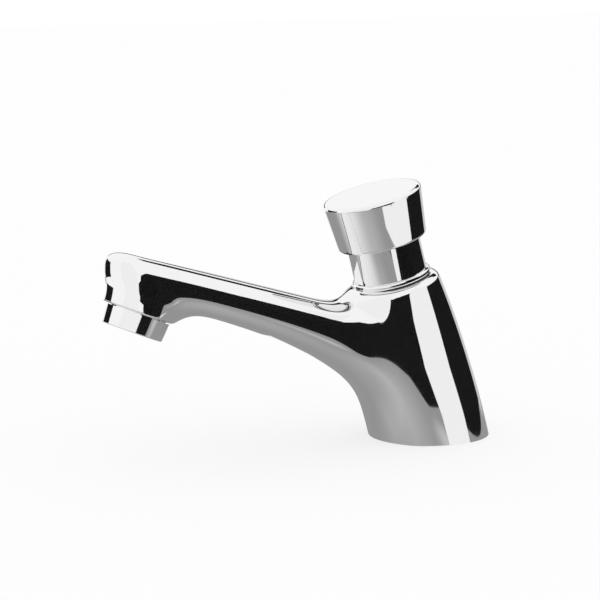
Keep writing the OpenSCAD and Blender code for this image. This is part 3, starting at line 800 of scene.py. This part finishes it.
def whiten(tree, shader, share):
    """Mixes plain white into what the camera sees of a surface."""
    path = tree.nodes.new("ShaderNodeLightPath")
    amount = tree.nodes.new("ShaderNodeMath")
    amount.operation = "MULTIPLY"
    amount.inputs[1].default_value = share
    white = tree.nodes.new("ShaderNodeEmission")
    mix = tree.nodes.new("ShaderNodeMixShader")
    tree.links.new(path.outputs["Is Camera Ray"], amount.inputs[0])
    tree.links.new(amount.outputs["Value"], mix.inputs["Fac"])
    tree.links.new(shader.outputs["BSDF"], mix.inputs[1])
    tree.links.new(white.outputs["Emission"], mix.inputs[2])
    tree.links.new(mix.outputs["Shader"], tree.nodes["Material Output"].inputs["Surface"])


def light_pool_fade(tree, centre, radius):
    """A share that fades from 1 at a centre to 0 at a radius, for a painted pool of light on a mirrored
    card.
    """
    place = tree.nodes.new("ShaderNodeTexCoord")
    mapping = tree.nodes.new("ShaderNodeMapping")
    mapping.vector_type = "TEXTURE"
    mapping.inputs["Location"].default_value = centre
    mapping.inputs["Scale"].default_value = (radius, radius, radius)
    fade = tree.nodes.new("ShaderNodeTexGradient")
    fade.gradient_type = "SPHERICAL"
    tree.links.new(place.outputs["Object"], mapping.inputs["Vector"])
    tree.links.new(mapping.outputs["Vector"], fade.inputs["Vector"])
    ease_off = tree.nodes.new("ShaderNodeMapRange")
    ease_off.interpolation_type = "SMOOTHSTEP"
    tree.links.new(fade.outputs["Fac"], ease_off.inputs["Value"])
    return ease_off.outputs["Result"]


def mirrored_card(name, shape, flag, brightness=0.0, painted_light_pools=(), seen_by=()):
    """A dark card that only the chrome sees. It may glow as a painted reflection, carry painted pools of
    light, and glow for some pieces alone as a painted reflection on those pieces.
    """
    finish, tree, shader = node_finish(name)
    shader.inputs["Base Color"].default_value = (flag, flag, flag, 1.0)
    shader.inputs["Roughness"].default_value = 1.0
    shader.inputs["Specular IOR Level"].default_value = 0.0
    shader.inputs["Emission Color"].default_value = (1.0, 1.0, 1.0, 1.0)
    shader.inputs["Emission Strength"].default_value = brightness
    total = None
    # Each painted pool of light adds its gain to the card's glow.
    for centre, radius, gain in painted_light_pools:
        added = tree.nodes.new("ShaderNodeMath")
        added.operation = "MULTIPLY_ADD"
        added.inputs[1].default_value = gain
        added.inputs[2].default_value = brightness
        tree.links.new(light_pool_fade(tree, centre, radius), added.inputs[0])
        if total is not None:
            tree.links.new(total, added.inputs[2])
        total = added.outputs["Value"]
    if total is not None:
        tree.links.new(total, shader.inputs["Emission Strength"])
    card = mesh_piece(name, *shape)
    card.data.materials.append(finish)
    card.visible_camera = False
    card.visible_diffuse = False
    card.visible_shadow = False
    card.visible_transmission = False
    # Light linking paints the card's glow as a reflection onto the listed pieces alone.
    if seen_by:
        lit = bpy.data.collections.new(name)
        for piece in seen_by:
            lit.objects.link(bpy.data.objects[piece])
        card.light_linking.receiver_collection = lit


def from_camera(settings, point):
    """A point that is measured to the right of the foot, away from the camera and up."""
    x, y, z = point
    s, c = math.sin(settings.view_turn), math.cos(settings.view_turn)
    return (x * c + y * s, y * c - x * s, z)


def strip(settings, first, second):
    """Points and faces of a card between two rows of points."""
    count = len(first)
    points = [from_camera(settings, p) for p in (*first, *second)]
    faces = [(i, i + 1, count + i + 1, count + i) for i in range(count - 1)]
    return points, faces


def fence(settings, places, low, high):
    """An upright card along a row of places."""
    return strip(settings, [(*p, low) for p in places], [(*p, high) for p in places])


def stand_cards(settings):
    """The table, flags and cards that the chrome mirrors. The table and the cards glow as painted
    reflections and light nothing, and the flags are dark cards. The table is lower than the deck.
    """
    dark = settings.flag
    table = settings.table_level
    # The mirrored table is a dark sheet below the deck that glows grey, as a painted reflection of the lit
    # table.
    near_edge = [(-0.42, -0.9, table), (0.75, -0.9, table)]
    far_edge = [(-0.42, 0.45, table), (0.75, 0.65, table)]
    spread = strip(settings, near_edge, far_edge)
    # Painted pools of light: three soft patches that brighten the mirrored table's glow.
    painted_light_pools = [
        (from_camera(settings, (-0.08, -0.16, table)), 0.17, 0.17),
        (from_camera(settings, (-0.23, -0.09, table)), 0.18, 0.60),
        (from_camera(settings, (0.12, -0.16, table)), 0.07, 0.25),
    ]
    mirrored_card("mirrored_table", spread, dark, settings.table, painted_light_pools)
    front_top = [
        (-0.05, -0.31, 0.075), (0.02, -0.31, 0.115), (0.10, -0.25, 0.165),
        (0.26, -0.28, 0.22), (0.42, -0.31, 0.26),
    ]
    front_foot = [(x, y, table) for x, y, z in front_top]
    flags = {
        "front_flag": strip(settings, front_foot, front_top),
        "right_flag": fence(settings, [(0.42, -0.31), (0.42, 0.45), (0.32, 0.45)], -0.033, 0.27),
        "left_flag": fence(settings, [(-0.60, 0.03), (-0.43, 0.33)], table, 0.20),
        "back_flag": fence(settings, [(-0.30, 0.46), (0.30, 0.46)], 0.13, 0.20),
        "tip_flag": fence(settings, [(-0.0964, -0.0927), (-0.0824, -0.0822)], 0.066, 0.080),
        "high_flag": fence(settings, [(0.0, 0.46), (0.30, 0.46)], 0.315, 0.50),
    }
    for name, shape in flags.items():
        mirrored_card(name, shape, dark)
    # Painted reflections: the back card glows grey and the left card glows white, and neither lights the
    # tap.
    back_card = fence(settings, [(-0.10, 0.45), (0.32, 0.45)], table, 0.13)
    mirrored_card("back_card", back_card, dark, settings.grey_card)
    left_card = fence(settings, [(-0.42, -0.31), (-0.06, -0.31)], table, 1.0)
    mirrored_card("left_card", left_card, dark, settings.card)
    left_edge = [
        (0.0290, -0.0430, -0.0150), (0.0237, -0.0458, 0.0055), (0.0124, -0.0509, 0.0268),
        (0.0075, -0.0517, 0.0513), (0.0070, -0.0500, 0.1100),
    ]
    right_edge = [
        (0.0760, -0.0230, -0.0150), (0.0727, -0.0246, 0.0064), (0.0664, -0.0310, 0.0311),
        (0.0605, -0.0299, 0.0572), (0.0560, -0.0280, 0.1150),
    ]
    # Painted reflections on chosen pieces: the stripe, skirt and neck cards glow only for the pieces in
    # seen_by, and every other piece sees them as dark flags.
    stripe = strip(settings, left_edge, right_edge)
    mirrored_card("stripe_card", stripe, dark, settings.card, seen_by=("cast_body", "push_cap"))
    skirt_places = [(-0.05, -0.305), (0.02, -0.305), (0.10, -0.245), (0.26, -0.275)]
    skirt = fence(settings, skirt_places, table, -0.002)
    mirrored_card("skirt_card", skirt, dark, settings.table, seen_by=("plain_neck", "push_cap"))
    neck_front = fence(settings, [(0.026, -0.126), (0.066, -0.099)], 0.030, 0.055)
    mirrored_card("neck_front_card", neck_front, dark, settings.card, seen_by=("plain_neck", "push_cap"))
    neck_left = fence(settings, [(-0.068, -0.004), (-0.056, 0.024), (-0.031, 0.040)], 0.020, 0.053)
    mirrored_card("neck_left_card", neck_left, dark, settings.card, seen_by=("plain_neck", "cast_body"))


def place_camera(scene, settings):
    """The camera at the photograph's angle."""
    data = bpy.data.cameras.new("camera")
    data.lens = settings.lens
    data.clip_start = 0.01
    camera = bpy.data.objects.new("camera", data)
    scene.collection.objects.link(camera)
    level = math.cos(settings.view_height)
    back = Vector(from_camera(settings, (0.0, -level, math.sin(settings.view_height))))
    camera.location = Vector(settings.target) + back * settings.view_distance
    camera.rotation_euler = (math.pi / 2 - settings.view_height, 0.0, -settings.view_turn)
    scene.camera = camera


class TAP_OT_body(bpy.types.Operator):
    """Builds the cast body with its pillar, spout and boss"""

    bl_idname = "tap.body"
    bl_label = "Cast body"

    def execute(self, context):
        dress(cast_body(context.scene.tap_body), finish_for("chrome"), "tap_body", "chrome", "body")
        return {"FINISHED"}


class TAP_OT_neck(bpy.types.Operator):
    """Builds the plain neck and the bead at its foot"""

    bl_idname = "tap.neck"
    bl_label = "Neck and bead"

    def execute(self, context):
        body = context.scene.tap_body
        trim = context.scene.tap_trim
        axis = pillar_axis(body)
        slip = 0.00005
        neck_r = trim.neck_diameter / 2
        bead_r = trim.bead_diameter / 2
        bead_low = body.body_height + trim.gasket_thickness
        bead_high = bead_low + trim.bead_height
        flat = 0.0001
        bead_round = trim.bead_height / 2 - flat
        bead = [
            (neck_r + slip, bead_low), (bead_r, bead_low, bead_round),
            (bead_r, bead_high, bead_round), (neck_r + slip, bead_high),
        ]
        piece = turned_piece("neck_bead", bead, axis, trim.turning_steps)
        dress(piece, finish_for("chrome"), "tap_body", "chrome", "collar_ring")
        bore_r = 0.01095
        thread_r = 0.013
        foot = 0.05305
        groove_r = 0.01215
        groove_low = 0.0619
        groove_high = 0.0633
        stem_r = 0.00605
        ceiling = 0.0821
        roof_round = 0.0008
        neck = [
            (bore_r, foot), (thread_r, foot), (thread_r, groove_low), (groove_r, groove_low),
            (groove_r, groove_high), (thread_r, groove_high), (thread_r, body.body_height),
            (neck_r, body.body_height), (neck_r, trim.neck_top, roof_round), (stem_r, trim.neck_top),
            (stem_r, ceiling), (bore_r, ceiling),
        ]
        piece = turned_piece("plain_neck", neck, axis, trim.turning_steps)
        dress(piece, finish_for("chrome"), "tap_body", "chrome", "bonnet")
        return {"FINISHED"}


class TAP_OT_knob(bpy.types.Operator):
    """Builds the conical knob that is pushed"""

    bl_idname = "tap.knob"
    bl_label = "Push knob"

    def execute(self, context):
        trim = context.scene.tap_trim
        axis = pillar_axis(context.scene.tap_body)
        clearance = 0.0006
        mouth_round = 0.0003
        foot_round = 0.0012
        top_round = 0.0015
        bore_r = trim.neck_diameter / 2 + clearance
        low = trim.knob_level
        high = low + trim.knob_height
        ceiling = high - trim.knob_top_thickness
        knob = [
            (bore_r, low, mouth_round), (trim.knob_foot_diameter / 2, low, foot_round),
            (trim.knob_top_diameter / 2, high, top_round), (0.0, high), (0.0, ceiling), (bore_r, ceiling),
        ]
        piece = turned_piece("push_cap", knob, axis, trim.turning_steps)
        dress(piece, finish_for("chrome"), "push_button", "chrome", "push_knob")
        return {"FINISHED"}


class TAP_OT_outlet(bpy.types.Operator):
    """Builds the ring of the outlet under the spout's tip"""

    bl_idname = "tap.outlet"
    bl_label = "Outlet ring"

    def execute(self, context):
        trim = context.scene.tap_trim
        axis = outlet_axis(context.scene.tap_body)
        ring_r = trim.outlet_ring_diameter / 2
        foot_r = trim.outlet_ring_foot / 2
        foot = -trim.outlet_ring_height
        edge_round = 0.0004
        shoulder = -0.0004
        thread_r = 0.011
        thread_top = 0.0068
        bore_r = 0.0096
        lip_r = 0.0084
        lip_top = foot + 0.0012
        ring = [
            (lip_r, foot), (foot_r, foot, edge_round), (ring_r, shoulder), (thread_r, shoulder),
            (thread_r, thread_top), (bore_r, thread_top), (bore_r, lip_top), (lip_r, lip_top),
        ]
        piece = turned_piece("outlet_ring", ring, axis, trim.turning_steps)
        dress(piece, finish_for("chrome"), "tap_body", "chrome", "aerator_housing")
        return {"FINISHED"}


class TAP_OT_spring(bpy.types.Operator):
    """Winds the return spring that the knob presses"""

    bl_idname = "tap.spring"
    bl_label = "Return spring"

    def execute(self, context):
        trim = context.scene.tap_trim
        axis = pillar_axis(context.scene.tap_body)
        piece = wound_spring(trim, axis)
        dress(piece, finish_for("steel"), "tap_body", "steel", "return_spring")
        foot = axis.place(0.0, trim.coil_low - trim.wire_diameter / 2, 0.0)
        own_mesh(piece)
        return {"FINISHED"}


def wound_spring(trim, axis):
    """One round wire wound between the barrel's floor and the piston, with its ends closed."""
    turn_steps = 48
    wire_sides = 14
    steps = int(trim.coil_turns * turn_steps)
    points = []
    faces = []
    for i in range(steps + 1):
        turn = 2 * math.pi * i / turn_steps
        level = trim.coil_low + (trim.coil_high - trim.coil_low) * i / steps
        for k in range(wire_sides):
            a = 2 * math.pi * k / wire_sides
            radius = trim.coil_diameter / 2 + trim.wire_diameter / 2 * math.cos(a)
            points.append(axis.place(radius, level + trim.wire_diameter / 2 * math.sin(a), turn))
    for i in range(steps):
        for k in range(wire_sides):
            here = i * wire_sides
            there = here + wire_sides
            following = (k + 1) % wire_sides
            faces.append((here + k, there + k, there + following, here + following))
    faces.append(tuple(range(wire_sides)))
    faces.append(tuple(steps * wire_sides + k for k in reversed(range(wire_sides))))
    piece = mesh_piece("wound_spring", points, faces)
    piece.data.polygons.foreach_set("use_smooth", [len(f) == 4 for f in faces])
    return piece


class TAP_OT_finishes(bpy.types.Operator):
    """Gives every piece that comes from the construction its finish"""

    bl_idname = "tap.finishes"
    bl_label = "Finishes"

    def execute(self, context):
        for row in frame["record"]["subparts"]:
            mesh = frame["nodes"][row["node"]].data
            finish = finish_for(row["material_slot"])
            if not mesh.materials:
                mesh.materials.append(finish)
            for i in range(len(mesh.materials)):
                mesh.materials[i] = finish
        return {"FINISHED"}


class TAP_PT_panel(bpy.types.Panel):
    """Lists the tap's sizes and its makers"""

    bl_label = "Push timed tap"
    bl_idname = "TAP_PT_panel"
    bl_space_type = "VIEW_3D"
    bl_region_type = "UI"
    bl_category = "Tap"

    def draw(self, context):
        for operator in OPERATORS:
            self.layout.operator(operator.bl_idname)
        for name, group in GROUPS.items():
            box = self.layout.box()
            for prop in group.__annotations__:
                box.prop(getattr(context.scene, name), prop)


OPERATORS = (
    TAP_OT_stage, TAP_OT_body, TAP_OT_neck, TAP_OT_knob, TAP_OT_outlet, TAP_OT_spring, TAP_OT_finishes,
)
GROUPS = {
    "tap_body": TapBodySizes, "tap_trim": TapTrimSizes, "tap_finishes": TapFinishes, "tap_stage": TapStage,
}


def register():
    """Adds the sizes, the makers and the panel to Blender."""
    for name, group in GROUPS.items():
        bpy.utils.register_class(group)
        setattr(bpy.types.Scene, name, PointerProperty(type=group))
    for operator in OPERATORS:
        bpy.utils.register_class(operator)
    bpy.utils.register_class(TAP_PT_panel)


def unregister():
    """Takes them out again."""
    bpy.utils.unregister_class(TAP_PT_panel)
    for operator in reversed(OPERATORS):
        bpy.utils.unregister_class(operator)
    for name, group in GROUPS.items():
        delattr(bpy.types.Scene, name)
        bpy.utils.unregister_class(group)


def main():
    """Builds every piece and the stage."""
    register()
    bpy.ops.tap.body()
    bpy.ops.tap.neck()
    bpy.ops.tap.knob()
    bpy.ops.tap.outlet()
    bpy.ops.tap.spring()
    bpy.ops.tap.finishes()
    bpy.ops.tap.stage()


if __name__ == "__main__":
    main()
